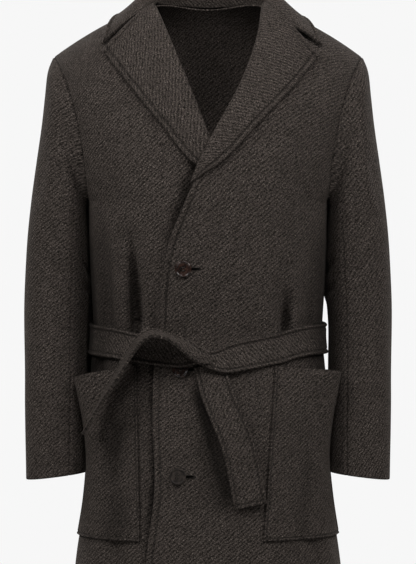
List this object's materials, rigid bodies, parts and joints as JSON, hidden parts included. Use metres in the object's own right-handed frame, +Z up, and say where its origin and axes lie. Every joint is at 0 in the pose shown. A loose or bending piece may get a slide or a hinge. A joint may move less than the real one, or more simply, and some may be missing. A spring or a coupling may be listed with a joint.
{
  "type": "wrap coat",
  "caption": "Long belted coat of heavy diagonal twill with notched lapels, patch pockets and set-in sleeves, its cloth belt tied in front, in the hollow form it keeps when worn.",
  "frame": {"origin": "midway between the two neck points, where the shoulder seams meet the neckline, so the wearer's neck passes through it", "axes": "+Z up, +X to the wearer's left, -Y to the front"},
  "size_m": [0.589, 0.3539, 1.1095],
  "materials": {
    "twill": "matt dark brown wool in a bold diagonal twill with lighter flecks",
    "horn": "polished dark brown horn"
  },
  "bodies": {
    "root": {"back": "twill", "front_left": "twill", "front_right": "twill", "sleeve_left_top": "twill", "sleeve_left_under": "twill", "sleeve_right_top": "twill", "sleeve_right_under": "twill", "collar": "twill", "lapel_left": "twill", "lapel_right": "twill", "pocket_left": "twill", "pocket_right": "twill", "belt_back": "twill", "belt_front_left": "twill", "belt_front_right": "twill", "belt_tail_over": "twill", "belt_tail_under": "twill", "button_1": "horn", "button_2": "horn", "button_3": "horn"}
  },
  "joints": []
}
